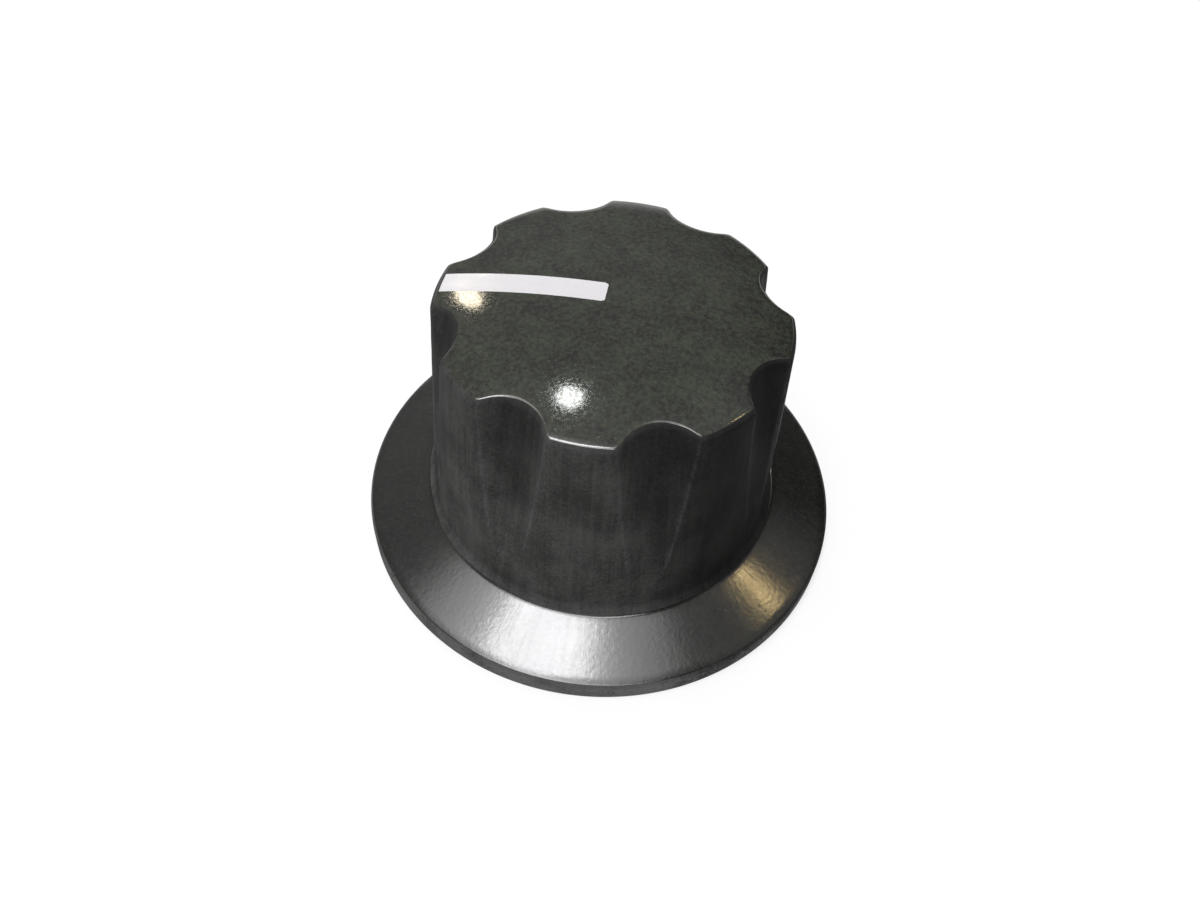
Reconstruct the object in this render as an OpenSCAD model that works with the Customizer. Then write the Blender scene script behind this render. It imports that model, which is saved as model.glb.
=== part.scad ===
// Fluted control knob with a conical skirt, for a round instrument shaft.
// Origin: centre of the skirt's lower face. +Z runs up the shaft axis, out of the panel.

/* [Skirt] */
// Diameter of the skirt at its edge
skirt_d = 32; // [29:0.5:40]
// Height of the upright edge of the skirt
skirt_edge_h = 1.25; // [0.8:0.05:1.6]
// Rounding of the skirt's upper edge
skirt_edge_r = 0.3; // [0.1:0.05:0.5]
// Height at which the cone of the skirt meets the body
skirt_h = 2.65; // [2.3:0.05:3.2]
// Rounding in the corner between skirt and body
root_r = 0.4; // [0.2:0.05:0.6]

/* [Body] */
// Diameter of the body where it leaves the skirt
body_base_d = 23; // [21.5:0.1:25]
// Diameter of the body at its shoulder, before rounding
body_top_d = 21.3; // [20:0.1:23]
// Height of the shoulder above the panel, before rounding
shoulder_h = 17.15; // [16:0.05:20]
// Rounding of the shoulder
shoulder_r = 0.35; // [0.2:0.05:0.8]
// Rise of the domed top above the shoulder
dome_rise = 1.3; // [0.8:0.05:2]

/* [Flutes] */
// Number of finger flutes round the body
flute_count = 8; // [6:1:9]
// Radius of each flute across its hollow
flute_r = 2.9; // [2.2:0.1:3.6]
// Depth of each flute at the shoulder
flute_depth = 1.35; // [0.8:0.05:1.8]
// Height at which the flutes run out on the body
flute_foot_h = 3.4; // [3.3:0.1:6]

/* [Pointer] */
// Direction of the pointer, turned from +X
pointer_turn = 180; // [0:15:345]
// Width of the pointer line
pointer_w = 1.6; // [1:0.1:2.4]
// Distance of the line's inner end from the axis
pointer_start = 0.5; // [0.2:0.1:3]
// Distance of the line's outer end from the rounding of the shoulder
pointer_gap = 0.08; // [0.05:0.01:1]
// Rounding of the corners at the line's inner end
pointer_corner_r = 0.25; // [0.1:0.05:0.4]
// Depth of the groove that holds the line
pointer_depth = 0.35; // [0.2:0.05:0.6]

/* [Underside] */
// Diameter of the recess that covers the panel nut
recess_d = 16.6; // [14.5:0.1:18]
// Depth of the recess that covers the panel nut
recess_depth = 4.5; // [4:0.1:5.5]
// Width of the lead-in bevel round the recess
recess_bevel = 0.4; // [0.2:0.1:0.8]

/* [Shaft bushing] */
// Diameter of the shaft bore
bore_d = 6.4; // [6:0.05:6.6]
// Depth of the shaft bore from the bushing's face
bore_depth = 10.6; // [8:0.1:11]
// Width of the lead-in bevel at the mouth of the bore
bore_bevel = 0.3; // [0.1:0.05:0.6]
// Outer diameter of the bushing
bushing_d = 11; // [10:0.1:12]
// Thickness of the bushing's closed end
bushing_end_t = 1; // [0.6:0.1:1.2]
// Width across the two flats that keep the bushing from turning in the moulding
flats_w = 9.6; // [8.6:0.1:9.8]

/* [Set screw] */
// Outer diameter of the screw's thread
screw_d = 4; // [3:0.1:4.4]
// Length of the screw
screw_len = 4.8; // [4:0.1:6]
// Height of the screw's axis above the panel
screw_h = 8.4; // [7.6:0.1:9.4]
// Distance of the screw's point from the wall of the bore
screw_back = 0.3; // [0.1:0.05:0.6]
// Width of the driver slot
slot_w = 0.8; // [0.6:0.1:1]
// Depth of the driver slot
slot_depth = 1.2; // [0.8:0.1:1.4]
// Diameter of the cup in the screw's point
cup_d = 2; // [1.4:0.1:2.2]
// Slope of the cup's wall, in degrees
cup_slope = 30; // [20:5:45]
// Bevel at both ends of the screw
screw_bevel = 0.4; // [0.2:0.1:0.5]
// Diameter of the driver hole through the moulding
driver_hole_d = 4.8; // [4.6:0.1:5.4]

/* [Hidden] */
// Radial clearance of the screw in its threaded hole
thread_gap = 0.05;
// How far a cut runs past the surface that it opens
overrun = 0.2;
// Steps in each rounding of the outline
arc_steps = 4;
$fn = 96;

skirt_r = skirt_d / 2;
body_base_r = body_base_d / 2;
body_top_r = body_top_d / 2;
apex_h = shoulder_h + dome_rise;
dome_r = (body_top_r ^ 2 + dome_rise ^ 2) / (2 * dome_rise);
dome_z = apex_h - dome_r;

// The wall of the body leans in from the skirt to the shoulder
wall_lean = atan((body_base_r - body_top_r) / (shoulder_h - skirt_h));
function wall_r(z) = body_base_r - (z - skirt_h) * tan(wall_lean);

// Centre of the shoulder's rounding: one radius inside the wall and inside the dome
shoulder_reach = dome_r - shoulder_r;
shoulder_inset_r = wall_r(dome_z) - shoulder_r / cos(wall_lean);
shoulder_turn = asin(shoulder_inset_r * cos(wall_lean) / shoulder_reach) - wall_lean;
shoulder_c = [shoulder_reach * sin(shoulder_turn), dome_z + shoulder_reach * cos(shoulder_turn)];

// Slope of the skirt's cone, the rounding of its edge and the rounding at its root
skirt_slope = atan((skirt_h - skirt_edge_h) / (skirt_r - body_base_r));
edge_cut = skirt_edge_r * tan((90 - skirt_slope) / 2);
edge_c = [skirt_r - skirt_edge_r, skirt_edge_h - edge_cut];
root_cut = root_r * tan((90 - wall_lean - skirt_slope) / 2);
root_wall = [wall_r(skirt_h + root_cut * cos(wall_lean)), skirt_h + root_cut * cos(wall_lean)];
root_c = root_wall + root_r * [cos(wall_lean), sin(wall_lean)];

// The bottom line of a flute runs straight from its foot on the wall to its depth at the shoulder
flute_foot_r = wall_r(flute_foot_h);
flute_head_r = body_top_r - flute_depth;
flute_lean = atan((flute_foot_r - flute_head_r) / (shoulder_h - flute_foot_h));
flute_len = (apex_h - flute_foot_h) / cos(flute_lean) + 2 * overrun + 2 * flute_r * tan(flute_lean);

pointer_end_r = dome_r * sin(shoulder_turn) - pointer_gap;
bushing_len = bore_depth + bushing_end_t;
screw_tip_r = bore_d / 2 + screw_back;
screw_turn = pointer_turn + 180;

// Points of an arc from one direction to another
function arc(centre, r, from, to) = [
  for (i = [0 : arc_steps])
    let (a = from + i / arc_steps * (to - from))
    centre + r * [cos(a), sin(a)]
];

// Outline of the moulding from the axis outwards, open above the shoulder for the dome
module body_outline() {
  shoulder = arc(shoulder_c, shoulder_r, wall_lean, 90 - shoulder_turn);
  last_step = shoulder[arc_steps] - shoulder[arc_steps - 1];
  rim = shoulder[arc_steps] + overrun * last_step / norm(last_step);
  polygon([
    [0, 0],
    [skirt_r, 0],
    each arc(edge_c, skirt_edge_r, 0, 90 - skirt_slope),
    each arc(root_c, root_r, 270 - skirt_slope, 180 + wall_lean),
    each shoulder,
    rim,
    [rim[0], apex_h + overrun],
    [0, apex_h + overrun]
  ]);
}

// The moulding without flutes and holes
module turned_body() {
  intersection() {
    rotate_extrude() body_outline();
    translate([0, 0, dome_z]) sphere(dome_r);
  }
}

// Leaning round cutter of one flute, standing on the -X side
module flute_cutter() {
  translate([-flute_foot_r, 0, flute_foot_h])
    rotate([0, flute_lean, 0])
      translate([-flute_r, 0, -overrun])
        cylinder(r = flute_r, h = flute_len);
}

// The flutes stand evenly, with a land between them under the pointer
module flutes() {
  step = 360 / flute_count;
  for (i = [0 : flute_count - 1])
    rotate(pointer_turn - 180 + (i + 1 / 2) * step) flute_cutter();
}

// Plan of the pointer line, running out along +X
module pointer_plan(end) {
  corner_x = pointer_start + pointer_corner_r;
  corner_y = pointer_w / 2 - pointer_corner_r;
  translate([corner_x, -pointer_w / 2]) square([end - corner_x, pointer_w]);
  translate([pointer_start, -corner_y]) square([end - pointer_start, 2 * corner_y]);
  for (side = [-1, 1])
    translate([corner_x, side * corner_y]) circle(pointer_corner_r);
}

// Layer of the dome as thick as the groove is deep, raised on top by a given height
module dome_layer(rise) {
  rotate_extrude()
    intersection() {
      difference() {
        translate([0, dome_z]) circle(dome_r + rise);
        translate([0, dome_z]) circle(dome_r - pointer_depth);
      }
      square([pointer_end_r, apex_h + dome_r]);
    }
}

module pointer_shape(rise) {
  rotate(pointer_turn)
    intersection() {
      dome_layer(rise);
      linear_extrude(apex_h + dome_r) pointer_plan(body_top_r);
    }
}

// Outside of the bushing, with a flat on both sides of the screw
module bushing_blank() {
  rotate(screw_turn)
    translate([0, 0, recess_depth])
      intersection() {
        cylinder(d = bushing_d, h = bushing_len);
        translate([-bushing_d, -flats_w / 2, -overrun])
          cube([2 * bushing_d, flats_w, bushing_len + 2 * overrun]);
      }
}

// Round hole or rod along the screw's axis, between two distances from the shaft axis
module screw_rod(d, from_r, to_r) {
  rotate(screw_turn)
    translate([from_r, 0, screw_h])
      rotate([0, 90, 0]) cylinder(d = d, h = to_r - from_r);
}

module knob_body() {
  color([0.05, 0.05, 0.05])
    difference() {
      turned_body();
      flutes();
      pointer_shape(overrun);
      translate([0, 0, -overrun]) cylinder(d = recess_d, h = recess_depth + overrun);
      translate([0, 0, -overrun])
        cylinder(d1 = recess_d + 2 * (recess_bevel + overrun), d2 = recess_d, h = recess_bevel + overrun);
      bushing_blank();
      screw_rod(driver_hole_d, 0, body_base_r + overrun);
    }
}

module pointer_line() {
  color([0.93, 0.94, 0.95]) pointer_shape(0);
}

module shaft_bushing() {
  color([0.78, 0.6, 0.28])
    difference() {
      bushing_blank();
      translate([0, 0, recess_depth - overrun]) cylinder(d = bore_d, h = bore_depth + overrun);
      translate([0, 0, recess_depth - overrun])
        cylinder(d1 = bore_d + 2 * (bore_bevel + overrun), d2 = bore_d, h = bore_bevel + overrun);
      screw_rod(screw_d + 2 * thread_gap, 0, bushing_d / 2 + overrun);
    }
}

module set_screw() {
  color([0.45, 0.46, 0.48])
    rotate(screw_turn)
      translate([screw_tip_r, 0, screw_h])
        rotate([0, 90, 0])
          difference() {
            rotate_extrude()
              polygon([
                [0, cup_d / 2 * tan(cup_slope)],
                [cup_d / 2, 0],
                [screw_d / 2 - screw_bevel, 0],
                [screw_d / 2, screw_bevel],
                [screw_d / 2, screw_len - screw_bevel],
                [screw_d / 2 - screw_bevel, screw_len],
                [0, screw_len]
              ]);
            translate([-screw_d, -slot_w / 2, screw_len - slot_depth])
              cube([2 * screw_d, slot_w, slot_depth + overrun]);
          }
}

knob_body();
pointer_line();
shaft_bushing();
set_screw();
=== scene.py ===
import math

import bmesh
import bpy
from mathutils import Matrix, Quaternion, Vector


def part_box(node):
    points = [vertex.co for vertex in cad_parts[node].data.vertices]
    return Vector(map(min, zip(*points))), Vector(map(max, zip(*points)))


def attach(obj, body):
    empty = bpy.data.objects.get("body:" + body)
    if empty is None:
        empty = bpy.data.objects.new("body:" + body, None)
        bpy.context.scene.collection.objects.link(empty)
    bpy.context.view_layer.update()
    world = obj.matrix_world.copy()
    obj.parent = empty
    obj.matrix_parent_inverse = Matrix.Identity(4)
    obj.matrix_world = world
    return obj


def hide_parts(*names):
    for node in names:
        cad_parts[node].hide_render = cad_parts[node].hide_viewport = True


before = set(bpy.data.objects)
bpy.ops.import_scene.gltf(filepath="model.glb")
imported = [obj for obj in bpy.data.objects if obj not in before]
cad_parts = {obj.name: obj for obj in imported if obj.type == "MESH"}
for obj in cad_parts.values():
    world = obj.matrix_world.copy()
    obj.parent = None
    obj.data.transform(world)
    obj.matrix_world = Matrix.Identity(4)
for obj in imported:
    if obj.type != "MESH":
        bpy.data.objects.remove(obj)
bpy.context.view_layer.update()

scene = bpy.context.scene
scene.view_settings.view_transform = "Standard"
mm = 0.001  # meshes are modelled in mm and shrunk to metres at the end
print("frame loaded:", sorted(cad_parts))


def wayTo(azimuth, elevation):
    a = math.radians(azimuth)
    e = math.radians(elevation)
    return Vector((math.cos(e) * math.cos(a), math.cos(e) * math.sin(a), math.sin(e)))


# Node helpers

def addNode(tree, kind, values=None, links=None, **settings):
    node = tree.nodes.new(kind)
    for key, value in settings.items():
        setattr(node, key, value)
    for key, value in (values or {}).items():
        node.inputs[key].default_value = value
    for key, source in (links or {}).items():
        tree.links.new(source, node.inputs[key])
    return node


def mathOf(tree, operation, first, second=None, clamp=False):
    node = addNode(tree, "ShaderNodeMath", operation=operation, use_clamp=clamp)
    for socket, value in zip(node.inputs, (first, second)):
        if isinstance(value, (int, float)):
            socket.default_value = value
        elif value is not None:
            tree.links.new(value, socket)
    return node.outputs[0]


def timesOf(tree, first, second):
    return mathOf(tree, "MULTIPLY", first, second)


def sumOf(tree, first, second):
    return mathOf(tree, "ADD", first, second)


def vectorOf(tree, operation, vector, other=None, output="Vector"):
    values = {} if other is None else {1: other}
    return addNode(tree, "ShaderNodeVectorMath", values, {0: vector}, operation=operation).outputs[output]


def rampOf(tree, value, low, high, toLow=0.0, toHigh=1.0):
    node = addNode(tree, "ShaderNodeMapRange", {"From Min": low, "From Max": high, "To Min": toLow,
                   "To Max": toHigh}, {"Value": value}, interpolation_type="SMOOTHSTEP")
    return node.outputs["Result"]


def mixOf(tree, share, first, second):
    node = addNode(tree, "ShaderNodeMix", data_type="RGBA")
    for name, value in (("Factor", share), ("A", first), ("B", second)):
        socket = [s for s in node.inputs if s.name == name and s.enabled][0]
        if isinstance(value, tuple):
            socket.default_value = (*value, 1)
        elif isinstance(value, (int, float)):
            socket.default_value = value
        else:
            tree.links.new(value, socket)
    return [s for s in node.outputs if s.enabled][0]


def inMillimetres(tree):
    coords = addNode(tree, "ShaderNodeTexCoord")
    scaled = addNode(tree, "ShaderNodeVectorMath", {"Scale": 1 / mm}, {0: coords.outputs["Object"]},
                     operation="SCALE")
    return scaled.outputs[0]


def splitOf(tree, vector):
    return addNode(tree, "ShaderNodeSeparateXYZ", links={0: vector}).outputs


def joinOf(tree, **parts):
    return addNode(tree, "ShaderNodeCombineXYZ", links=parts).outputs[0]


def attributeOf(tree, name):
    return addNode(tree, "ShaderNodeAttribute", attribute_name=name).outputs["Fac"]


def noiseOf(tree, vector, scale, detail, roughness):
    node = addNode(tree, "ShaderNodeTexNoise", {"Scale": scale, "Detail": detail, "Roughness": roughness},
                   {"Vector": vector})
    return node.outputs[0]


def bumpOf(tree, height, depth):
    node = addNode(tree, "ShaderNodeBump", {"Strength": 1.0, "Distance": depth * mm}, {"Height": height})
    return node.outputs["Normal"]


def newGroup(name, inputs, output):
    group = bpy.data.node_groups.new(name, "ShaderNodeTree")
    for label, value in inputs.items():
        socket = group.interface.new_socket(label, in_out="INPUT", socket_type="NodeSocketFloat")
        socket.default_value = value
    group.interface.new_socket(output, in_out="OUTPUT", socket_type="NodeSocketFloat")
    return group, group.nodes.new("NodeGroupInput").outputs, group.nodes.new("NodeGroupOutput").inputs


def placeGroup(tree, group, values):
    node = addNode(tree, "ShaderNodeGroup", node_tree=group)
    for key, value in values.items():
        node.inputs[key].default_value = value
    return node.outputs[0]


def newMaterial(name):
    material = bpy.data.materials.new(name)
    material.use_nodes = True
    tree = material.node_tree
    tree.nodes.clear()
    shader = tree.nodes.new("ShaderNodeBsdfPrincipled")
    output = tree.nodes.new("ShaderNodeOutputMaterial")
    tree.links.new(shader.outputs[0], output.inputs["Surface"])
    return material, tree, shader


# Effects that the finishes share. A noise is given as scale per mm, detail and roughness,
# a ramp as from, to and, where it isn't 0 to 1, the values at both ends.

def makeSpecks():
    # round specks of dust and pits, each with its own strength
    group, given, out = newGroup("fineSpecks", {"Per mm": 3.0, "Size": 0.2, "Share": 0.5}, "Specks")
    cells = addNode(group, "ShaderNodeTexVoronoi", links={
        "Vector": inMillimetres(group), "Scale": given["Per mm"]}).outputs
    lots = addNode(group, "ShaderNodeSeparateColor", links={0: cells["Color"]}).outputs
    outward = mathOf(group, "DIVIDE", cells["Distance"], given["Size"])
    inside = mathOf(group, "SUBTRACT", 1.0, outward, clamp=True)
    chosen = mathOf(group, "LESS_THAN", lots["Red"], given["Share"])
    strength = timesOf(group, chosen, lots["Green"])
    group.links.new(timesOf(group, inside, strength), out["Specks"])
    return group


streaks = {"noise": (1.0, 4.0, 0.6)}


def makeStreaks():
    # rubbing streaks that run along the meridians: up the wall and out along the skirt
    group, given, out = newGroup("rubbedStreaks", {"Fineness": 60.0, "Stretch": 0.3}, "Streaks")
    spot = splitOf(group, inMillimetres(group))
    flat = joinOf(group, X=spot["X"], Y=spot["Y"])
    ring = vectorOf(group, "NORMALIZE", flat)
    reach = vectorOf(group, "LENGTH", flat, output="Value")
    turned = splitOf(group, addNode(group, "ShaderNodeVectorMath", links={
        0: ring, "Scale": given["Fineness"]}, operation="SCALE").outputs[0])
    along = timesOf(group, mathOf(group, "SUBTRACT", spot["Z"], reach), given["Stretch"])
    drawn = joinOf(group, X=turned["X"], Y=turned["Y"], Z=along)
    group.links.new(noiseOf(group, drawn, *streaks["noise"]), out["Streaks"])
    return group


hazy = {
    "broadDetail": 4.0,
    "broadRoughness": 0.55,
    "broadShare": 0.55,
    "fineDetail": 3.0,
    "fineRoughness": 0.65,
    "fineShare": 0.45,
    "ramp": (0.36, 0.66),
}


def makeHaze():
    # cloudy haze of grease and dust at two scales
    group, given, out = newGroup("cloudyHaze", {"Broad": 0.35, "Fine": 3.0}, "Haze")
    place = inMillimetres(group)
    clouds = addNode(group, "ShaderNodeTexNoise", {
        "Detail": hazy["broadDetail"], "Roughness": hazy["broadRoughness"]},
        {"Vector": place, "Scale": given["Broad"]}).outputs[0]
    grain = addNode(group, "ShaderNodeTexNoise", {
        "Detail": hazy["fineDetail"], "Roughness": hazy["fineRoughness"]},
        {"Vector": place, "Scale": given["Fine"]}).outputs[0]
    clouds = timesOf(group, clouds, hazy["broadShare"])
    grain = timesOf(group, grain, hazy["fineShare"])
    group.links.new(rampOf(group, sumOf(group, clouds, grain), *hazy["ramp"]), out["Haze"])
    return group


speckGroup = makeSpecks()
rubGroup = makeStreaks()
hazeGroup = makeHaze()


# Polished black moulding of the domed top: a mirror gloss with a fine grain of pits and dust
polished = {
    "dark": (0.0010, 0.0011, 0.0009),
    "light": (0.037, 0.043, 0.026),
    "dust": (0.100, 0.104, 0.090),
    "worn": (0.170, 0.166, 0.172),
    "ior": 1.75,
    "gloss": 0.05,
    "dulling": 0.09,  # roughness that the grain adds to the gloss
    "dustDulling": 0.2,
    "rimDulling": 0.12,
    "haze": {"Broad": 0.45, "Fine": 5.0},
    "specks": {"Per mm": 3.2, "Size": 0.26, "Share": 0.6},
    "powder": {"Per mm": 6.5, "Size": 0.36, "Share": 0.8},
    "grain": (6.5, 3.0, 0.6),
    "grainRamp": (0.42, 0.70),
    "mottle": (3.6, 3.0, 0.7),
    "mottleRamp": (0.34, 0.66),
    "hazeShare": 0.5,
    "mottleShare": 0.5,
    "powderShare": 0.55,
    "dustShare": 0.45,
    "wornShare": 0.1,
    "speckRelief": 0.8,
    "reliefDepth": 0.0005,
}


def makePolished():
    p = polished
    material, tree, shader = newMaterial("polishedMoulding")
    place = inMillimetres(tree)
    haze = placeGroup(tree, hazeGroup, p["haze"])
    specks = placeGroup(tree, speckGroup, p["specks"])
    powder = placeGroup(tree, speckGroup, p["powder"])
    specks = mathOf(tree, "MAXIMUM", specks, timesOf(tree, powder, p["powderShare"]))
    grain = rampOf(tree, noiseOf(tree, place, *p["grain"]), *p["grainRamp"])
    mottle = rampOf(tree, noiseOf(tree, place, *p["mottle"]), *p["mottleRamp"])
    cloud = sumOf(tree, timesOf(tree, haze, p["hazeShare"]), timesOf(tree, mottle, p["mottleShare"]))
    rim = attributeOf(tree, "rimWear")
    body = mixOf(tree, cloud, p["dark"], p["light"])
    body = mixOf(tree, timesOf(tree, specks, p["dustShare"]), body, p["dust"])
    body = mixOf(tree, timesOf(tree, rim, p["wornShare"]), body, p["worn"])
    tree.links.new(body, shader.inputs["Base Color"])
    rough = sumOf(tree, timesOf(tree, grain, p["dulling"]), p["gloss"])
    rough = sumOf(tree, rough, timesOf(tree, specks, p["dustDulling"]))
    rough = sumOf(tree, rough, timesOf(tree, rim, p["rimDulling"]))
    tree.links.new(rough, shader.inputs["Roughness"])
    relief = sumOf(tree, grain, timesOf(tree, specks, p["speckRelief"]))
    tree.links.new(bumpOf(tree, relief, p["reliefDepth"]), shader.inputs["Normal"])
    shader.inputs["IOR"].default_value = p["ior"]
    return material


# The same moulding on the skirt, wiped so often that fine radial marks soften its gloss
wiped = {
    "dark": (0.0014, 0.0015, 0.0013),
    "light": (0.011, 0.012, 0.009),
    "mark": (0.085, 0.090, 0.092),
    "ior": 1.75,
    "gloss": 0.13,
    "dulling": 0.03,  # roughness that the broad marks add to the gloss
    "hazeDulling": 0.05,
    "haze": {"Broad": 0.4, "Fine": 4.0},
    "specks": {"Per mm": 4.0, "Size": 0.30, "Share": 0.6},
    "broadRub": {"Fineness": 45.0, "Stretch": 0.15},
    "broadRamp": (0.38, 0.70),
    "hairRub": {"Fineness": 150.0, "Stretch": 0.6},
    "hairRamp": (0.42, 0.75),
    "grain": (3.4, 1.5, 0.5),
    "grainRamp": (0.30, 0.70),
    "hazeShare": 0.5,
    "grainShare": 0.5,
    "hairShare": 0.05,
    "speckShare": 0.5,
    "hairRelief": 0.35,
    "reliefDepth": 0.0016,
}


def makeWiped():
    w = wiped
    material, tree, shader = newMaterial("wipedMoulding")
    haze = placeGroup(tree, hazeGroup, w["haze"])
    specks = placeGroup(tree, speckGroup, w["specks"])
    broad = rampOf(tree, placeGroup(tree, rubGroup, w["broadRub"]), *w["broadRamp"])
    hair = rampOf(tree, placeGroup(tree, rubGroup, w["hairRub"]), *w["hairRamp"])
    grain = rampOf(tree, noiseOf(tree, inMillimetres(tree), *w["grain"]), *w["grainRamp"])
    cloud = sumOf(tree, timesOf(tree, haze, w["hazeShare"]), timesOf(tree, grain, w["grainShare"]))
    body = mixOf(tree, cloud, w["dark"], w["light"])
    marks = sumOf(tree, timesOf(tree, hair, w["hairShare"]), timesOf(tree, specks, w["speckShare"]))
    tree.links.new(mixOf(tree, marks, body, w["mark"]), shader.inputs["Base Color"])
    rough = sumOf(tree, timesOf(tree, broad, w["dulling"]), w["gloss"])
    rough = sumOf(tree, rough, timesOf(tree, haze, w["hazeDulling"]))
    tree.links.new(rough, shader.inputs["Roughness"])
    relief = sumOf(tree, grain, timesOf(tree, hair, w["hairRelief"]))
    tree.links.new(bumpOf(tree, relief, w["reliefDepth"]), shader.inputs["Normal"])
    shader.inputs["IOR"].default_value = w["ior"]
    return material


# Duller moulding of the grip's wall and the underside: filmed by fingers, rubbed along the flutes' edges, and
# carrying painted light and shade
dulled = {
    "dark": (0.0035, 0.0035, 0.0034),
    "filmAndPaintedLight": (0.083, 0.082, 0.080),
    # colour of worn edges, of the painted highlight along the flutes' edges and of the painted reflection on
    # the skirt's edge
    "worn": (0.200, 0.195, 0.200),
    "ior": 1.05,
    "roughness": 0.42,
    "filmDulling": 0.2,
    "paintedLightAzimuth": -128,  # side painted lightest: painted light, darker towards the right
    "paintedLightRamp": (0.12, 0.75, 0.25, 1.0),
    "paintedBackAzimuth": 112,  # and a second, fainter patch of painted light behind
    "paintedBackRamp": (-0.15, 0.7, 0.25, 0.75),
    "broadRub": {"Fineness": 22.0, "Stretch": 0.12},
    "fineRub": {"Fineness": 90.0, "Stretch": 0.35},
    "rubRamp": (0.3, 0.7),
    "haze": {"Broad": 0.35, "Fine": 5.0},
    "broadShare": 0.15,
    "fineShare": 0.07,
    "hazeShare": 0.32,
    "evenShare": 0.24,
    "paintedFluteShadeRamp": (0.1, 0.9, 1.0, 0.55),  # painted shade: darker in the flutes
    "paintedLowWallRamp": (4.0, 14.0, 1.3, 0.97),  # by height: painted light, lighter low on the wall
    # painted light: lighter on the skirt's upright edge
    "paintedRimLightRamp": (1.0, 2.5, 1.8, 1.0),
    # thin light lines along the flutes' long edges: worn edges and a painted highlight
    "edgePower": 4.0,
    "edgeRamp": (0.0, 0.6, 0.08, 0.17),
    "rimShare": 0.04,
    "scuffHeight": (0.95, 1.25, 1.0, 0.0),  # lighter blotches on the skirt's upright edge: scuffing and a painted reflection
    "scuffRamp": (0.1, 0.8, 0.05, 0.35),
    "underRamp": (0.0, 0.15, 0.15, 1.0),  # few of them on the underside
    "grain": (5.0, 2.0, 0.55),
    "grainRelief": 0.8,
    "reliefDepth": 0.004,
}


def makeDulled():
    d = dulled
    material, tree, shader = newMaterial("dulledMoulding")
    place = inMillimetres(tree)
    height = splitOf(tree, place)["Z"]
    ring = vectorOf(tree, "NORMALIZE", vectorOf(tree, "MULTIPLY", place, (1, 1, 0)))
    # painted light and shade: the wall is lighter towards the front-left and behind, darker on the right
    side = vectorOf(tree, "DOT_PRODUCT", ring, wayTo(d["paintedLightAzimuth"], 0), "Value")
    behind = vectorOf(tree, "DOT_PRODUCT", ring, wayTo(d["paintedBackAzimuth"], 0), "Value")
    paintedLightBySide = mathOf(tree, "MAXIMUM", rampOf(tree, side, *d["paintedLightRamp"]), rampOf(tree, behind, *d["paintedBackRamp"]))
    hollow = attributeOf(tree, "fluteHollow")
    edge = attributeOf(tree, "fluteEdge")
    rim = attributeOf(tree, "rimWear")
    broad = rampOf(tree, placeGroup(tree, rubGroup, d["broadRub"]), *d["rubRamp"])
    fine = rampOf(tree, placeGroup(tree, rubGroup, d["fineRub"]), *d["rubRamp"])
    haze = placeGroup(tree, hazeGroup, d["haze"])
    filmAndPaintedLight = sumOf(tree, timesOf(tree, broad, d["broadShare"]), timesOf(tree, fine, d["fineShare"]))
    filmAndPaintedLight = sumOf(tree, filmAndPaintedLight, timesOf(tree, haze, d["hazeShare"]))
    filmAndPaintedLight = timesOf(tree, sumOf(tree, filmAndPaintedLight, d["evenShare"]), paintedLightBySide)
    # painted shade: darker in the flutes
    filmAndPaintedLight = timesOf(tree, filmAndPaintedLight, rampOf(tree, hollow, *d["paintedFluteShadeRamp"]))
    # painted light: lighter low on the wall
    filmAndPaintedLight = timesOf(tree, filmAndPaintedLight, rampOf(tree, height, *d["paintedLowWallRamp"]))
    # painted light: lighter on the skirt's upright edge
    filmAndPaintedLight = timesOf(tree, filmAndPaintedLight, rampOf(tree, height, *d["paintedRimLightRamp"]))
    body = mixOf(tree, filmAndPaintedLight, d["dark"], d["filmAndPaintedLight"])
    # thin light lines along the flutes' edges: worn edges and a painted highlight
    worn = timesOf(tree, mathOf(tree, "POWER", edge, d["edgePower"]), rampOf(tree, haze, *d["edgeRamp"]))
    worn = mathOf(tree, "MAXIMUM", worn, timesOf(tree, rim, d["rimShare"]))
    # lighter blotches on the skirt's upright edge: scuffing and a painted reflection
    scuffsAndPaintedReflection = timesOf(tree, rampOf(tree, height, *d["scuffHeight"]), rampOf(tree, haze, *d["scuffRamp"]))
    scuffsAndPaintedReflection = timesOf(tree, scuffsAndPaintedReflection, rampOf(tree, height, *d["underRamp"]))
    worn = mathOf(tree, "MAXIMUM", worn, scuffsAndPaintedReflection)
    tree.links.new(mixOf(tree, worn, body, d["worn"]), shader.inputs["Base Color"])
    rough = sumOf(tree, timesOf(tree, filmAndPaintedLight, d["filmDulling"]), d["roughness"])
    tree.links.new(rough, shader.inputs["Roughness"])
    relief = sumOf(tree, fine, timesOf(tree, noiseOf(tree, place, *d["grain"]), d["grainRelief"]))
    tree.links.new(bumpOf(tree, relief, d["reliefDepth"]), shader.inputs["Normal"])
    shader.inputs["IOR"].default_value = d["ior"]
    return material


# White enamel of the line
enamel = {
    "white": (0.71, 0.70, 0.72),
    "shade": (0.67, 0.66, 0.68),
    "soil": (0.45, 0.45, 0.43),
    "gloss": 0.16,
    "dulling": 0.12,
    "haze": {"Broad": 0.8, "Fine": 4.0},
    "specks": {"Per mm": 3.0, "Size": 0.22, "Share": 0.3},
    "soilShare": 0.35,
    "swell": (2.5, 3.0, 0.55),
    "reliefDepth": 0.004,
}


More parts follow.
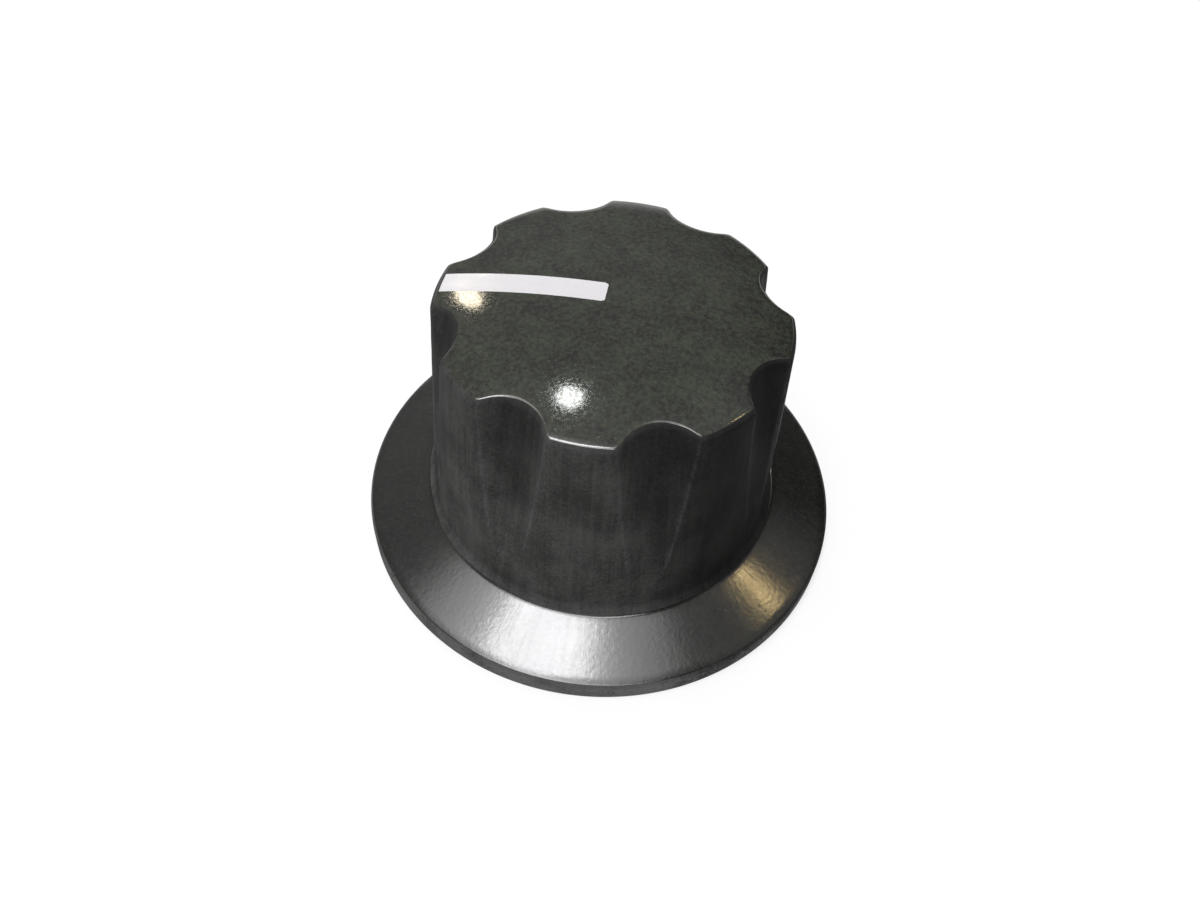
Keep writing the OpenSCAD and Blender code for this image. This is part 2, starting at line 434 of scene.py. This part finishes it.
def makeEnamel():
    e = enamel
    material, tree, shader = newMaterial("whiteEnamel")
    haze = placeGroup(tree, hazeGroup, e["haze"])
    specks = placeGroup(tree, speckGroup, e["specks"])
    body = mixOf(tree, haze, e["white"], e["shade"])
    body = mixOf(tree, timesOf(tree, specks, e["soilShare"]), body, e["soil"])
    tree.links.new(body, shader.inputs["Base Color"])
    rough = sumOf(tree, timesOf(tree, haze, e["dulling"]), e["gloss"])
    tree.links.new(rough, shader.inputs["Roughness"])
    swell = noiseOf(tree, inMillimetres(tree), *e["swell"])
    tree.links.new(bumpOf(tree, swell, e["reliefDepth"]), shader.inputs["Normal"])
    return material


# Turned brass of the bushing
brass = {
    "bright": (0.74, 0.55, 0.24),
    "dull": (0.46, 0.32, 0.13),
    "stain": (0.22, 0.14, 0.06),
    "gloss": 0.18,
    "dulling": 0.2,
    "haze": {"Broad": 0.5, "Fine": 2.0},
    "specks": {"Per mm": 2.0, "Size": 0.3, "Share": 0.5},
    "stainShare": 0.6,
    "turning": (9.0, 3.0, 0.7),
    "reliefDepth": 0.012,
}


def makeBrass():
    b = brass
    material, tree, shader = newMaterial("turnedBrass")
    place = inMillimetres(tree)
    reach = vectorOf(tree, "LENGTH", vectorOf(tree, "MULTIPLY", place, (1, 1, 0)), output="Value")
    feed = joinOf(tree, X=sumOf(tree, reach, splitOf(tree, place)["Z"]))
    rings = noiseOf(tree, feed, *b["turning"])
    haze = placeGroup(tree, hazeGroup, b["haze"])
    specks = placeGroup(tree, speckGroup, b["specks"])
    body = mixOf(tree, haze, b["bright"], b["dull"])
    body = mixOf(tree, timesOf(tree, specks, b["stainShare"]), body, b["stain"])
    tree.links.new(body, shader.inputs["Base Color"])
    shader.inputs["Metallic"].default_value = 1.0
    rough = sumOf(tree, timesOf(tree, haze, b["dulling"]), b["gloss"])
    tree.links.new(rough, shader.inputs["Roughness"])
    tree.links.new(bumpOf(tree, rings, b["reliefDepth"]), shader.inputs["Normal"])
    return material


# Dark oiled steel of the screw
steel = {
    "oxide": (0.09, 0.09, 0.095),
    "rubbed": (0.40, 0.40, 0.41),
    "rust": (0.16, 0.08, 0.04),
    "gloss": 0.25,
    "dulling": 0.25,
    "haze": {"Broad": 1.2, "Fine": 5.0},
    "specks": {"Per mm": 2.6, "Size": 0.3, "Share": 0.5},
    "rustShare": 0.5,
    "grain": (7.0, 3.0, 0.55),
    "reliefDepth": 0.01,
}


def makeSteel():
    s = steel
    material, tree, shader = newMaterial("oiledSteel")
    haze = placeGroup(tree, hazeGroup, s["haze"])
    specks = placeGroup(tree, speckGroup, s["specks"])
    body = mixOf(tree, haze, s["oxide"], s["rubbed"])
    body = mixOf(tree, timesOf(tree, specks, s["rustShare"]), body, s["rust"])
    tree.links.new(body, shader.inputs["Base Color"])
    shader.inputs["Metallic"].default_value = 1.0
    rough = sumOf(tree, timesOf(tree, haze, s["dulling"]), s["gloss"])
    tree.links.new(rough, shader.inputs["Roughness"])
    grain = noiseOf(tree, inMillimetres(tree), *s["grain"])
    tree.links.new(bumpOf(tree, grain, s["reliefDepth"]), shader.inputs["Normal"])
    return material


polishedMoulding = makePolished()
dulledMoulding = makeDulled()
wipedMoulding = makeWiped()
whiteEnamel = makeEnamel()
turnedBrass = makeBrass()
oiledSteel = makeSteel()
print("materials mixed")


# Tools of the bench

bench = {"mergeGap": 0.0005, "sharpAngle": 40}


def newPiece(bm, name, *materials):
    mesh = bpy.data.meshes.new(name)
    bm.to_mesh(mesh)
    bm.free()
    for material in materials:
        mesh.materials.append(material)
    piece = bpy.data.objects.new(name, mesh)
    scene.collection.objects.link(piece)
    return piece


def drawOutline(bm, points):
    verts = [bm.verts.new((radius, 0, height)) for radius, height in points]
    for first, second in zip(verts, verts[1:]):
        bm.edges.new((first, second))
    return verts


def roundCorner(bm, vert, radius, segments):
    ways = [(edge.other_vert(vert).co - vert.co).normalized() for edge in vert.link_edges]
    turn = math.pi - ways[0].angle(ways[1])
    bmesh.ops.bevel(bm, geom=[vert], offset=radius * math.tan(turn / 2), offset_type="OFFSET",
                    segments=segments, profile=0.5, affect="VERTICES", material=-1)


def refineOutline(bm, step):
    for edge in list(bm.edges):
        cuts = math.ceil(edge.calc_length() / step) - 1
        if cuts > 0:
            bmesh.ops.subdivide_edges(bm, edges=[edge], cuts=cuts)


def spinOutline(bm, steps):
    bmesh.ops.spin(bm, geom=bm.verts[:] + bm.edges[:], cent=(0, 0, 0), axis=(0, 0, 1), dvec=(0, 0, 0),
                   angle=math.tau, steps=steps, use_merge=True, use_duplicate=False)
    bmesh.ops.remove_doubles(bm, verts=bm.verts[:], dist=bench["mergeGap"])
    bmesh.ops.recalc_face_normals(bm, faces=bm.faces[:])


def cutAway(piece, cutter):
    modifier = piece.modifiers.new("cut", "BOOLEAN")
    modifier.operation = "DIFFERENCE"
    modifier.solver = "EXACT"
    modifier.object = cutter
    bpy.context.view_layer.update()
    evaluated = piece.evaluated_get(bpy.context.evaluated_depsgraph_get())
    cutMesh = bpy.data.meshes.new_from_object(evaluated)
    piece.modifiers.clear()
    piece.data = cutMesh
    bpy.data.objects.remove(cutter)


def roundBar(name, radius, length, segments, place):
    bm = bmesh.new()
    bmesh.ops.create_cone(bm, cap_ends=True, segments=segments, radius1=radius, radius2=radius,
                          depth=length, matrix=place)
    return newPiece(bm, name)


def block(name, sizes, centre):
    bm = bmesh.new()
    bmesh.ops.create_cube(bm, size=1, matrix=Matrix.Translation(centre) @ Matrix.Diagonal((*sizes, 1)))
    return newPiece(bm, name)


def smoothShare(value, low, high):
    share = min(max((value - low) / (high - low), 0), 1)
    return share * share * (3 - 2 * share)


def finishPiece(piece, node):
    mesh = piece.data
    mesh.name = piece.name
    mesh.transform(Matrix.Scale(mm, 4))
    mesh.polygons.foreach_set("use_smooth", [True] * len(mesh.polygons))
    mesh.set_sharp_from_angle(angle=math.radians(bench["sharpAngle"]))
    mesh.update()
    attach(piece, "root")
    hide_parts(node)
    print("piece ready:", piece.name, len(mesh.polygons), "faces")


# Knob body: one moulding, sizes in mm

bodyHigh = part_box("knob_body")[1]
knob = {
    "skirtR": bodyHigh.x / mm,
    "apexH": bodyHigh.z / mm,
    "skirtEdgeH": 1.25,
    "skirtEdgeR": 0.3,
    "skirtEdgeSegments": 5,
    "lowerEdgeR": 0.12,
    "lowerEdgeSegments": 3,
    "skirtH": 2.65,
    "rootR": 0.8,
    "rootSegments": 8,
    "baseR": 11.5,
    "topR": 10.65,
    "shoulderH": 17.15,
    "shoulderR": 0.5,
    "shoulderSegments": 8,
    "recessR": 8.3,
    "recessH": 4.5,
    "recessBevel": 0.4,
    "recessCornerR": 0.3,
    "recessSegments": 4,
    "domeSteps": 30,
    "ringStep": 0.5,
    "spinSteps": 480,
}
# where one finish of the moulding passes into the next
dress = {
    "steep": 0.85,  # a face whose normal rises less than this is wall
    "underH": 0.03,
    "recessSpare": 0.01,
    "margin": 0.5,
    "rootDrop": 0.1,
    "skirtRise": 1.0,
}
flute = {
    "count": 8,
    "radius": 2.9,
    "depth": 1.33,
    "footH": 3.4,
    "edgeSoft": 0.38,  # blend at the flute's long edges
    "leastSoft": 0.02,
    "edgeFade": 0.3,  # depth over which the worn edge and its painted highlight fade out
    "domeCalm": 5.5,  # radius on the dome inside which no ring is pulled
    "wallCalm": 6.0,  # height below the shoulder over which the rings settle
    "settled": 0.5,
    "startRise": 0.2,  # height above the skirt from which the wall is fluted
    "recessMargin": 0.5,
    "recessTop": 8.0,  # faces of the recess end below this height
    "hair": 0.01,
    "rimShare": 0.72,  # share of the shoulder's rounding that lies outside the rim
    "rimRounds": 4,
    "wearDrop": 1.0,
    "wearTilt": (18, 40),  # degrees over which the rim's wear comes and goes
    "wearEnd": (48, 72),
}

domeRise = knob["apexH"] - knob["shoulderH"]
domeR = (knob["topR"] ** 2 + domeRise ** 2) / (2 * domeRise)
domeZ = knob["apexH"] - domeR


def domeHeight(radius):
    return domeZ + math.sqrt(domeR ** 2 - radius ** 2)


def wallRadius(height):
    share = (height - knob["skirtH"]) / (knob["shoulderH"] - knob["skirtH"])
    return knob["baseR"] + share * (knob["topR"] - knob["baseR"])


footR = wallRadius(flute["footH"])
fluteSlope = (footR - (knob["topR"] - flute["depth"])) / (knob["shoulderH"] - flute["footH"])
fluteReach = flute["radius"] * math.sqrt(1 + fluteSlope ** 2)


def fluteCut(azimuth, height):
    # radius of the fluted wall, and how near the spot lies to a flute's edge
    wall = wallRadius(height)
    bottom = footR - (height - flute["footH"]) * fluteSlope
    pitch = math.tau / flute["count"]
    away = (azimuth % pitch) - pitch / 2
    centre = bottom + fluteReach
    a = (math.cos(away) / fluteReach) ** 2 + (math.sin(away) / flute["radius"]) ** 2
    b = centre * math.cos(away) / fluteReach ** 2
    c = (centre / fluteReach) ** 2 - 1
    inside = b * b - a * c
    if inside <= 0:
        return wall, 0
    hollow = (b - math.sqrt(inside)) / a  # where a ray from the axis meets the leaning round cutter
    depth = wall - bottom
    soft = min(max(depth / 2, flute["leastSoft"]), flute["edgeSoft"])
    near = max(soft - abs(wall - hollow), 0)
    # nearness to the flute's edge, which drives its worn line and painted highlight
    edgeWearAndHighlight = near / soft * min(max(depth / flute["edgeFade"], 0), 1)
    return min(wall, hollow) - near * near / (4 * soft), edgeWearAndHighlight


def bodyBlank():
    k = knob
    bm = bmesh.new()
    apex = bm.verts.new((0, 0, k["apexH"]))
    arc = bmesh.ops.spin(bm, geom=[apex], cent=(0, 0, domeZ), axis=(0, 1, 0), dvec=(0, 0, 0),
                         angle=math.asin(k["topR"] / domeR), steps=k["domeSteps"], use_duplicate=False)
    shoulder = [g for g in arc["geom_last"] if isinstance(g, bmesh.types.BMVert)][0]
    _, recess, _, _, foot, edge, root = drawOutline(bm, [
        (0, k["recessH"]), (k["recessR"], k["recessH"]), (k["recessR"], k["recessBevel"]),
        (k["recessR"] + k["recessBevel"], 0), (k["skirtR"], 0), (k["skirtR"], k["skirtEdgeH"]),
        (k["baseR"], k["skirtH"]),
    ])
    bm.edges.new((root, shoulder))
    roundCorner(bm, shoulder, k["shoulderR"], k["shoulderSegments"])
    roundCorner(bm, root, k["rootR"], k["rootSegments"])
    roundCorner(bm, edge, k["skirtEdgeR"], k["skirtEdgeSegments"])
    roundCorner(bm, foot, k["lowerEdgeR"], k["lowerEdgeSegments"])
    roundCorner(bm, recess, k["recessCornerR"], k["recessSegments"])
    refineOutline(bm, k["ringStep"])
    spinOutline(bm, k["spinSteps"])
    return bm


def dressFaces(bm):
    # 0 polished top, 1 dulled wall and underside, 2 wiped skirt
    k = knob
    bm.normal_update()
    for face in bm.faces:
        spot = face.calc_center_median()
        radius = math.hypot(spot.x, spot.y)
        steep = face.normal.z < dress["steep"]
        inRecess = spot.z < k["recessH"] + dress["recessSpare"] and radius < k["recessR"] + dress["margin"]
        onWall = radius < k["baseR"] + dress["margin"] and spot.z > k["skirtH"] - dress["rootDrop"]
        onRim = radius > k["skirtR"] - dress["margin"]
        if spot.z < dress["underH"] or inRecess or (steep and (onWall or onRim)):
            face.material_index = 1
        elif spot.z < k["skirtH"] + dress["skirtRise"]:
            face.material_index = 2


def fluteBody(bm):
    # the rim is where the dome passes into the rounding of the shoulder
    k = knob
    f = flute
    rimR = k["topR"] - k["shoulderR"] * f["rimShare"]
    rimZ = domeHeight(rimR)
    edgeLayer = bm.verts.layers.float.new("fluteEdge")
    hollowLayer = bm.verts.layers.float.new("fluteHollow")
    rimLayer = bm.verts.layers.float.new("rimWear")
    shifts = {}

    def rimShift(azimuth):
        key = round(azimuth, 5)
        if key not in shifts:
            lift = 0
            for turn in range(f["rimRounds"]):
                rimNew = fluteCut(azimuth, rimZ + lift)[0] + rimR - wallRadius(rimZ)
                lift = domeHeight(rimNew) - rimZ
            shifts[key] = (rimR - rimNew, lift)
        return shifts[key]

    for vert in bm.verts:
        radius = math.hypot(vert.co.x, vert.co.y)
        height = vert.co.z
        inRecess = radius < k["recessR"] + f["recessMargin"] and height < f["recessTop"]
        if radius < f["hair"] or height < k["skirtH"] + f["startRise"] or inRecess:
            continue
        if height > k["shoulderH"] - f["wearDrop"]:
            tilt = math.degrees(math.acos(min(vert.normal.z, 1)))
            vert[rimLayer] = smoothShare(tilt, *f["wearTilt"]) * (1 - smoothShare(tilt, *f["wearEnd"]))
        azimuth = math.atan2(vert.co.y, vert.co.x)
        inward, lift = rimShift(azimuth)
        if radius < rimR - f["hair"]:
            newR = radius - inward * smoothShare(radius, f["domeCalm"], rimR)
            newZ = domeHeight(newR)
        else:
            newZ = height + lift * smoothShare(height, rimZ - f["wallCalm"], rimZ - f["settled"])
            fluted, vert[edgeLayer] = fluteCut(azimuth, newZ)
            vert[hollowLayer] = (wallRadius(newZ) - fluted) / f["depth"]
            newR = fluted + radius - wallRadius(height)
        vert.co.x *= newR / radius
        vert.co.y *= newR / radius
        vert.co.z = newZ


bodyMesh = bodyBlank()
dressFaces(bodyMesh)
fluteBody(bodyMesh)
bodyPiece = newPiece(bodyMesh, "knobMoulding", polishedMoulding, dulledMoulding, wipedMoulding)
print("body turned and fluted")


# Pointer line: white enamel in a shallow groove, sizes in mm

pointer = {
    "width": 1.6,
    "start": 0.5,
    "end": 10.29,
    "cornerR": 0.2,
    "grooveDepth": 0.35,
    "sunk": 0.012,  # how far the enamel lies below the moulding
    "hollow": 0.015,  # extra dip of the enamel along its middle
    "dipPower": 4,
    "cutterRise": 0.6,
    "alongSteps": 72,
    "acrossSteps": 16,
}


def pointerBlock(name, topRise, dip, *materials):
    p = pointer
    half = p["width"] / 2
    inner = half - p["cornerR"]
    bm = bmesh.new()
    bmesh.ops.create_grid(bm, x_segments=p["alongSteps"], y_segments=p["acrossSteps"], size=1)
    for vert in bm.verts:
        along = (vert.co.x + 1) / 2
        across = vert.co.y
        y = across * half
        past = max(abs(y) - inner, 0)
        corner = p["cornerR"] - math.sqrt(max(p["cornerR"] ** 2 - past ** 2, 0))
        startX = p["start"] + corner
        x = startX + along * (math.sqrt(p["end"] ** 2 - y * y) - startX)
        height = domeHeight(math.hypot(x, y)) + topRise - dip * (1 - across ** p["dipPower"])
        vert.co = (-x, -y, height)
    lower = bmesh.ops.extrude_face_region(bm, geom=bm.faces[:])
    for vert in [g for g in lower["geom"] if isinstance(g, bmesh.types.BMVert)]:
        vert.co.z = domeHeight(math.hypot(vert.co.x, vert.co.y)) - p["grooveDepth"]
    bmesh.ops.recalc_face_normals(bm, faces=bm.faces[:])
    return newPiece(bm, name, *materials)


cutAway(bodyPiece, pointerBlock("grooveCutter", pointer["cutterRise"], 0))
pointerPiece = pointerBlock("pointerEnamel", -pointer["sunk"], pointer["hollow"], whiteEnamel)
print("pointer groove cut and filled")


# Shaft bushing: turned brass with two flats, sizes in mm

bushing = {
    "outerR": 5.5,
    "flatY": 4.8,
    "topH": 16.1,
    "boreR": 3.2,
    "boreBevel": 0.3,
    "boreEndH": 15.1,
    "edgeBevel": 0.12,
    "steps": 160,
    "ringStep": 1.0,
    "seatDrop": 0.5,  # how far the seat's cutter starts below the roof of the recess
    "flatCutter": (16, 4, 30),
    "flatCutterH": 10,
}


def cutFlats(piece):
    sizes = bushing["flatCutter"]
    for side in (-1, 1):
        centre = (0, side * (bushing["flatY"] + sizes[1] / 2), bushing["flatCutterH"])
        cutAway(piece, block("flatCutter", sizes, centre))


def bushingBlank():
    b = bushing
    low = knob["recessH"]
    bm = bmesh.new()
    drawOutline(bm, [
        (0, b["boreEndH"]), (b["boreR"], b["boreEndH"]), (b["boreR"], low + b["boreBevel"]),
        (b["boreR"] + b["boreBevel"], low), (b["outerR"] - b["edgeBevel"], low),
        (b["outerR"], low + b["edgeBevel"]), (b["outerR"], b["topH"]), (0, b["topH"]),
    ])
    refineOutline(bm, b["ringStep"])
    spinOutline(bm, b["steps"])
    return newPiece(bm, "brassBushing", turnedBrass)


seatLow = knob["recessH"] - bushing["seatDrop"]
seatCutter = roundBar("seatCutter", bushing["outerR"], bushing["topH"] - seatLow, bushing["steps"],
                      Matrix.Translation((0, 0, (bushing["topH"] + seatLow) / 2)))
cutFlats(seatCutter)
cutAway(bodyPiece, seatCutter)
bushingPiece = bushingBlank()
cutFlats(bushingPiece)
print("bushing turned, flats milled")


# Set screw with its thread, slot and cup point, sizes in mm

screw = {
    "radius": 2.0,
    "length": 4.8,
    "tipX": 3.5,
    "axisH": 8.4,
    "pitch": 0.7,
    "threadDepth": 0.36,
    "crestGain": 1.4,  # the thread's wave is stretched and clipped, which flattens crest and root
    "crestDrop": 0.2,
    "stepsPerPitch": 8,
    "steps": 64,
    "bevel": 0.4,
    "cupR": 1.0,
    "cupDepth": 0.577,
    "slotLength": 6,
    "slotWidth": 0.8,
    "slotDepth": 1.2,
    "threadHole": {"radius": 2.05, "start": 0.0, "end": 7.0, "segments": 64},
    "driverHole": {"radius": 2.4, "start": 4.0, "end": 13.0, "segments": 96},
}
alongScrew = Matrix.Translation((0, 0, screw["axisH"])) @ Matrix.Rotation(math.pi / 2, 4, "Y")


def screwBlank():
    s = screw
    bm = bmesh.new()
    drawOutline(bm, [
        (0, s["cupDepth"]), (s["cupR"], 0), (s["radius"] - s["bevel"], 0), (s["radius"], s["bevel"]),
        (s["radius"], s["length"] - s["bevel"]), (s["radius"] - s["bevel"], s["length"]), (0, s["length"]),
    ])
    refineOutline(bm, s["pitch"] / s["stepsPerPitch"])
    spinOutline(bm, s["steps"])
    for vert in bm.verts:
        radius = math.hypot(vert.co.x, vert.co.y)
        turned = vert.co.z / s["pitch"] - math.atan2(vert.co.y, vert.co.x) / math.tau
        wave = abs((turned % 1) * 2 - 1)  # 0 in the root of the thread and 1 on its crest
        height = min(max(wave * s["crestGain"] - s["crestDrop"], 0), 1)
        crest = s["radius"] - s["threadDepth"] * (1 - height)
        if radius > crest:
            vert.co.x *= crest / radius
            vert.co.y *= crest / radius
    return newPiece(bm, "grubScrew", oiledSteel)


def drillHole(piece, name, hole):
    place = alongScrew @ Matrix.Translation((0, 0, (hole["start"] + hole["end"]) / 2))
    cutAway(piece, roundBar(name, hole["radius"], hole["end"] - hole["start"], hole["segments"], place))


screwPiece = screwBlank()
slotSizes = (screw["slotLength"], screw["slotWidth"], 2 * screw["slotDepth"])
cutAway(screwPiece, block("slotCutter", slotSizes, (0, 0, screw["length"])))
screwPiece.data.transform(alongScrew @ Matrix.Translation((0, 0, screw["tipX"])))
drillHole(bodyPiece, "driverHoleCutter", screw["driverHole"])
drillHole(bushingPiece, "threadHoleCutter", screw["threadHole"])
print("screw threaded and slotted, its holes drilled")

finishPiece(bodyPiece, "knob_body")
finishPiece(pointerPiece, "pointer_line")
finishPiece(bushingPiece, "shaft_bushing")
finishPiece(screwPiece, "set_screw")


# Floor and room

room = {
    "floorRadius": 0.7,
    "floorSegments": 128,
    "floorColour": (0.93, 0.93, 0.93),
    "floorRoughness": 0.9,
    "floorGlow": 0.65,  # share of plain white in what the camera and reflections see of the floor
    "horizon": (1.0, 1.0, 1.0),
    "horizonTop": 8.0,  # degrees up to which the room is white
    "roomFrom": 14.0,  # degrees from which it has its own light
    "tone": 0.045,  # strength outside the soft areas
}
# soft neutral areas of the studio: azimuth, elevation, reach in degrees, strength
softAreas = [
    (-140, 78, 20, 2.0),  # surround of the key lamp
    (-140, 78, 40, 0.3),
    (-175, 66, 14, 2.4),  # its wings, left and right
    (-40, 81, 15, 2.2),
    (-100, 40, 40, 0.6),  # front
    (-165, 25, 25, 0.7),
    (120, 50, 60, 0.37),  # back
    (20, 55, 30, 0.35),  # right
]


def makeFloor():
    bm = bmesh.new()
    bmesh.ops.create_circle(bm, cap_ends=True, segments=room["floorSegments"], radius=room["floorRadius"])
    material, tree, shader = newMaterial("paleFloor")
    shader.inputs["Base Color"].default_value = (*room["floorColour"], 1)
    shader.inputs["Roughness"].default_value = room["floorRoughness"]
    shader.inputs["Specular IOR Level"].default_value = 0.0
    white = addNode(tree, "ShaderNodeEmission", {"Strength": 1.0})
    rays = addNode(tree, "ShaderNodeLightPath").outputs
    seen = mathOf(tree, "MAXIMUM", rays["Is Camera Ray"], rays["Is Glossy Ray"])
    seen = mathOf(tree, "MAXIMUM", seen, rays["Is Transmission Ray"])
    share = timesOf(tree, seen, room["floorGlow"])
    mixed = addNode(tree, "ShaderNodeMixShader", links={0: share, 1: shader.outputs[0], 2: white.outputs[0]})
    output = [node for node in tree.nodes if node.type == "OUTPUT_MATERIAL"][0]
    tree.links.new(mixed.outputs[0], output.inputs["Surface"])
    newPiece(bm, "paleFloor", material)


def makeWorld():
    world = bpy.data.worlds.new("softRoom")
    scene.world = world
    world.use_nodes = True
    tree = world.node_tree
    tree.nodes.clear()
    way = vectorOf(tree, "NORMALIZE", addNode(tree, "ShaderNodeTexCoord").outputs["Generated"])
    light = room["tone"]
    for azimuth, elevation, reach, strength in softAreas:
        toArea = vectorOf(tree, "DOT_PRODUCT", way, wayTo(azimuth, elevation), "Value")
        share = rampOf(tree, toArea, math.cos(math.radians(reach)), 1.0)
        light = sumOf(tree, light, timesOf(tree, share, strength))
    up = rampOf(tree, splitOf(tree, way)["Z"], math.sin(math.radians(room["horizonTop"])),
                math.sin(math.radians(room["roomFrom"])))
    colour = mixOf(tree, up, room["horizon"], light)
    back = addNode(tree, "ShaderNodeBackground", {"Strength": 1.0}, {"Color": colour})
    output = tree.nodes.new("ShaderNodeOutputWorld")
    tree.links.new(back.outputs[0], output.inputs["Surface"])


lampStand = {"distance": 2.0, "aim": Vector((0, 0, 0.010))}
# name, azimuth, elevation, width and height in degrees, radiance, colour, turn
lamps = [
    ("keyLamp", -139, 78.4, 22, 15, 10.8, (0.98, 0.98, 1.0), 49),
    ("whiteSpot", 113.5, 67, 4.8, 4.8, 15, (0.98, 1.0, 0.97), 0),
    ("warmSpot", 125, 35, 3.4, 7.5, 15, (1.0, 0.88, 0.66), 0),
    ("warmStrip", 24.5, 53.3, 4.6, 4.6, 14, (1.0, 0.74, 0.35), 0),
    ("frontStrip", -98, 67, 50, 10, 6, (0.98, 0.96, 1.0), 0),
]


def addLamp(name, azimuth, elevation, width, height, radiance, colour, turn):
    distance = lampStand["distance"]
    data = bpy.data.lights.new(name, "AREA")
    data.shape = "ELLIPSE"
    data.size = 2 * distance * math.tan(math.radians(width / 2))
    data.size_y = 2 * distance * math.tan(math.radians(height / 2))
    data.energy = radiance * math.pi * math.pi / 4 * data.size * data.size_y
    data.color = colour
    lamp = bpy.data.objects.new(name, data)
    way = wayTo(azimuth, elevation)
    lamp.location = lampStand["aim"] + way * distance
    lamp.rotation_mode = "QUATERNION"
    lamp.rotation_quaternion = way.to_track_quat("Z", "Y") @ Quaternion((0, 0, 1), math.radians(turn))
    scene.collection.objects.link(lamp)


makeFloor()
makeWorld()
for row in lamps:
    addLamp(*row)
print("floor, room and lamps set")


# Camera, as the photograph was taken: degrees and mm

shot = {
    "azimuth": -83.8,
    "elevation": 49.356,
    "distance": 62.42,
    "aimHeight": 7.2,
    "roll": 4.493,
    "lens": 28.32,
    "sensor": 36.0,
    "shiftX": -0.0045,
    "shiftY": -0.0240,
    "clipStart": 0.001,  # metres
    "clipEnd": 10,
}


def makeCamera():
    data = bpy.data.cameras.new("camera")
    data.lens = shot["lens"]
    data.sensor_width = shot["sensor"]
    data.shift_x = shot["shiftX"]
    data.shift_y = shot["shiftY"]
    data.clip_start = shot["clipStart"]
    data.clip_end = shot["clipEnd"]
    camera = bpy.data.objects.new("camera", data)
    back = wayTo(shot["azimuth"], shot["elevation"])
    camera.location = Vector((0, 0, shot["aimHeight"] * mm)) + back * shot["distance"] * mm
    camera.rotation_mode = "QUATERNION"
    level = (-back).to_track_quat("-Z", "Y")
    camera.rotation_quaternion = level @ Quaternion((0, 0, 1), math.radians(shot["roll"]))
    scene.collection.objects.link(camera)
    scene.camera = camera


makeCamera()
print("camera set")
